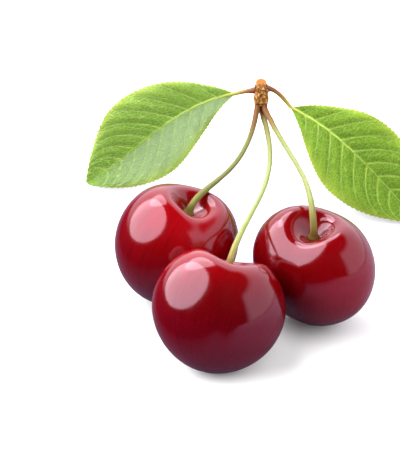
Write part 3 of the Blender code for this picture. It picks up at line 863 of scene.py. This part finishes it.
def make_blade(name, line, materials):
    """The folded, quilted and toothed blade. Returns the line down its middle and the way up from it."""
    length, far_width, near_width = LEAVES[name][-3:]
    ahead = unit(np.gradient(line, axis=0))
    across = unit(np.cross(ahead, LEAF_FACING))
    normal = unit(np.cross(across, ahead))

    share = np.linspace(0, 1, BLADE_ROWS + 1)[:, None]
    side = np.linspace(-1, 1, BLADE_COLUMNS + 1)[None, :]
    left = side < 0
    side_share = np.abs(side)
    near = across[:, 1:2] * side < 0
    half_width = np.where(near, near_width, far_width)
    half = blade_half_width(share, half_width)
    tooth = (share * TEETH_A_SIDE + 0.15 * np.sin(share * 31)) % 1.0
    teeth = TOOTH_DEPTH * (tooth**1.3 - 0.4) * side_share**12 * np.minimum(1, half / 3)
    offset = side * half + np.sign(side) * teeth
    fields = [vein_field(share, side_share, length, half_width, first) for first in FIRST_VEINS]
    vein, far = np.where(left, *fields)

    rise = (np.sqrt(offset**2 + 0.16) - 0.4) * math.sin(LEAF_FOLD * DEGREE)
    rise *= 1 - 0.25 * np.abs(offset) / half_width
    swelling = 1 - bump(far, PILLOW_REACH)
    pillow = PILLOW_HEIGHT * swelling * np.minimum(1, half / 4) * (1 - side_share**6)
    wave = np.sin(share * 19 + np.where(left, 0.4, 2.1)) * np.minimum(1, half / 5)
    wave *= WAVE_HEIGHT * side_share**2
    curl = -CURL_DEPTH * side_share**7 * np.minimum(1, half / 6)
    height = rise + pillow - VEIN_DEPTH * vein + wave + curl
    place = line[:, None] + across[:, None] * (offset * math.cos(LEAF_FOLD * DEGREE))[..., None]
    place = place + normal[:, None] * height[..., None]
    over = place[..., 2] - LEAF_REST
    place[..., 2] = LEAF_REST + (over + np.sqrt(over**2 + 1.0)) / 2

    mesh = grid_mesh(name + "_blade", place)
    rib = bump(offset, MIDRIB_WIDTH * (1.15 - share))
    # Painted sheen on the half towards the fruits. It fades at the midrib, the margin and the tip, and is
    # weaker on the veins.
    bloom = LEAF_PAINTED_SHEEN[name] * near * (1 - bump(side_share, 0.05)) * (1 - side_share**8) * (1 - share**6)
    keep_values(
        mesh,
        vein=np.maximum(vein * 0.8, rib),
        along=np.broadcast_to(share * length, offset.shape),
        across=offset + np.where(left, 40, 0),
        edge=np.broadcast_to(side_share**9, offset.shape),
        between=swelling * side_share**0.5,
        bloom=bloom * (1 - 0.4 * vein),
    )
    piece = add_piece(name + "_blade", mesh, name, materials)
    shell = piece.modifiers.new("thickness", "SOLIDIFY")
    shell.thickness = BLADE_THICKNESS * MM
    shell.offset = -1
    shell.material_offset = 1
    return place[:, BLADE_COLUMNS // 2], normal


def make_midrib(name, start, outward, line, middle, normal, material):
    """The leaf's stalk and midrib in one: out of the spur to the blade's base, then half sunk in the blade."""
    stalk_length, _, length = LEAVES[name][3:6]
    rows = BLADE_ROWS - MIDRIB_SHORT
    below_base = line[0] - (line[8] - line[0]) * 1.2
    shares = np.linspace(0, 1, LEAF_STALK_POINTS)
    first_handle = start + outward * stalk_length / 3
    stalk = bezier(start - outward * 0.5, first_handle, below_base, middle[0], shares)[:-1]
    sunk = normal[:rows] * MIDRIB_DEPTH * np.minimum(1, np.arange(rows) / 20)[:, None]
    path = np.concatenate([stalk, middle[:rows] - sunk])
    steps = distances_along(path)
    on_blade = steps[len(stalk)]
    on_stalk_share = 0.5 * steps / on_blade
    on_blade_share = 0.5 + 0.5 * (steps - on_blade) / (steps[-1] - on_blade)
    along = np.where(steps < on_blade, on_stalk_share, on_blade_share)
    radii = LEAF_STALK_RADIUS - 0.12 * np.minimum(1, steps / stalk_length) + 0.25 * bump(steps, 0.9)
    radii = radii - 0.3 * np.clip((steps - stalk_length) / length, 0, 1) ** 0.7
    grid = swept(path, radii, MIDRIB_SIDES)
    grid += 0.02 * ripple(grid, (1.3, 3.5), 5)[..., None]
    mesh = grid_mesh(name + "_midrib", grid, round_columns=True, capped=True)
    keep_values(mesh, along=np.broadcast_to(along[:, None], grid.shape[:2]))
    add_piece(name + "_midrib", mesh, name, [material])


def make_leaf(name, spur_frame, blade_materials, stalk_material):
    start, outward, line = leaf_line(name, spur_frame)
    middle, normal = make_blade(name, line, blade_materials)
    make_midrib(name, start, outward, line, middle, normal, stalk_material)


# --- Camera, light and floor


def make_camera(front_middle):
    """Looks down on the bunch from the fruits' side, with the front fruit below the middle of the view."""
    rise = CAMERA_RISE * DEGREE
    data = bpy.data.cameras.new("camera")
    camera = bpy.data.objects.new("camera", data)
    bpy.context.scene.collection.objects.link(camera)
    back = Vector((0, -math.cos(rise), math.sin(rise)))
    up = Vector((0, math.sin(rise), math.cos(rise)))
    right = Vector((1, 0, 0))
    target = Vector(front_middle) - right * FRONT_FRUIT_ASIDE + up * FRONT_FRUIT_BELOW
    camera.location = (target + back * CAMERA_DISTANCE) * MM
    camera.rotation_euler = (-back).to_track_quat("-Z", "Y").to_euler()
    data.lens = data.sensor_width * CAMERA_DISTANCE / VIEW_HEIGHT
    data.clip_start = 0.01
    data.clip_end = 20
    bpy.context.scene.camera = camera


def softbox(name, place, target, size, power):
    """An oval area light that the camera doesn't see. Its places and sizes are in metres."""
    data = bpy.data.lights.new(name, "AREA")
    data.shape = "ELLIPSE"
    data.size, data.size_y = size
    data.energy = power
    lamp = bpy.data.objects.new(name, data)
    bpy.context.scene.collection.objects.link(lamp)
    lamp.location = place
    lamp.rotation_euler = (Vector(target) - lamp.location).to_track_quat("-Z", "Y").to_euler()
    lamp.visible_camera = False
    return lamp


def make_studio_walls():
    """White walls behind and on the right. The camera's side, the left and the ceiling are dark."""
    world = bpy.data.worlds.new("studio")
    bpy.context.scene.world = world
    world.use_nodes = True
    tree = world.node_tree
    background = tree.nodes["Background"]
    way = add(tree, "ShaderNodeSeparateXYZ", {0: add(tree, "ShaderNodeTexCoord").outputs["Generated"]})
    towards_camera = maths(tree, "MULTIPLY", way.outputs["Y"], -1.0)
    bearing = maths(tree, "ARCTAN2", way.outputs["X"], towards_camera)
    part_round = maths(tree, "ADD", maths(tree, "DIVIDE", bearing, 2 * math.pi), 0.5)
    walls = ramp(tree, part_round, [
        (0.0, (1.35, 1.35, 1.45)), (0.14, (0.8, 0.8, 0.86)), (0.2, (0.012, 0.012, 0.012)),
        (0.62, (0.012, 0.012, 0.012)), (0.65, (0.9, 0.9, 0.96)), (0.85, (0.9, 0.9, 0.96)),
        (1.0, (1.35, 1.35, 1.45)),
    ])
    below_ceiling = ramp(tree, way.outputs["Z"], [(0.66, (1, 1, 1)), (0.78, (0.012, 0.012, 0.012))])
    tree.links.new(mixed(tree, 1.0, walls, below_ceiling, "MULTIPLY"), background.inputs["Color"])
    background.inputs["Strength"].default_value = 1.7


def make_table():
    """White to look at, but it throws little light back, least of all on the left and in front."""
    bpy.ops.mesh.primitive_plane_add(size=8)
    floor = bpy.context.object
    floor.name = "floor"
    material, tree, shader = new_material("white table")
    place = add(tree, "ShaderNodeSeparateXYZ", {0: own_place(tree)})
    across = maths(tree, "ADD", maths(tree, "MULTIPLY", place.outputs["X"], 5.0), 0.3)
    shade = ramp(tree, maths(tree, "ADD", across, maths(tree, "MULTIPLY", place.outputs["Y"], 2.0)), [
        (0.0, (0.015, 0.008, 0.018)), (0.22, (0.19, 0.14, 0.22)), (1.0, (0.42, 0.36, 0.45)),
    ])
    seen = add(tree, "ShaderNodeLightPath").outputs["Is Camera Ray"]
    tree.links.new(mixed(tree, seen, shade, (0.85, 0.85, 0.85)), shader.inputs["Base Color"])
    shader.inputs["Roughness"].default_value = 0.6
    shader.inputs["Specular IOR Level"].default_value = 0.0
    floor.data.materials.append(material)


def make_softboxes():
    """The key light on the left, a weak one behind, and one that only evens out the light on the table."""
    softbox("key softbox", (-0.46, 0.0, 0.43), (0, 0, 0.01), (1.16, 1.02), 18)
    even = softbox("evening softbox", (0.5, -0.35, 0.6), (0, 0, 0.0), (1.2, 1.2), 9)
    even.visible_glossy = False
    softbox("back softbox", (-0.16, 0.36, 0.5), (0, 0, 0.01), (0.5, 0.36), 2.4)


# --- The bunch

long_grain = long_grain_effect()
patches = patches_effect()
cracks = cracks_effect()
tissue = leaf_tissue_effect()

cherry_skin = cherry_skin_finish(long_grain, patches)
fruits = {name: make_fruit(name, cherry_skin) for name in FRUITS}
front_middle = fruits["cherry_front"][0]
spur_place = Vector((front_middle[0] + SPUR_PLACE[0], front_middle[1] + SPUR_PLACE[1], SPUR_PLACE[2]))
spur_frame = Matrix.Translation(spur_place) @ Matrix.Rotation((SPUR_RISE - 90) * DEGREE, 4, "X")
make_spur(spur_frame, spur_finish(cracks))
scale_brown = scale_finish(long_grain, patches, cracks)
for number in range(len(SCALES)):
    make_scale(number, spur_frame, scale_brown)
stalk_green = stalk_finish(long_grain)
for name in STALKS:
    make_stalk(name, fruits, spur_frame, stalk_green)
left_upper = leaf_finish(
    "left leaf upper side", tissue, (0.07, 0.20, 0.008), (0.21, 0.38, 0.020), (0.36, 0.50, 0.09), 0.42, 0.5
)
right_upper = leaf_finish(
    "right leaf upper side", tissue, (0.036, 0.115, 0.001), (0.14, 0.27, 0.003), (0.32, 0.45, 0.07), 0.6, 0.2
)
underside = leaf_finish(
    "leaf underside", tissue, (0.22, 0.32, 0.12), (0.30, 0.42, 0.15), (0.42, 0.52, 0.22), 0.6, 0.4
)
leaf_stalk = leaf_stalk_finish()
make_leaf("leaf_left", spur_frame, [left_upper, underside], leaf_stalk)
make_leaf("leaf_right", spur_frame, [right_upper, underside], leaf_stalk)

make_camera(front_middle)
make_studio_walls()
make_table()
make_softboxes()
bpy.context.scene.view_settings.view_transform = "Standard"
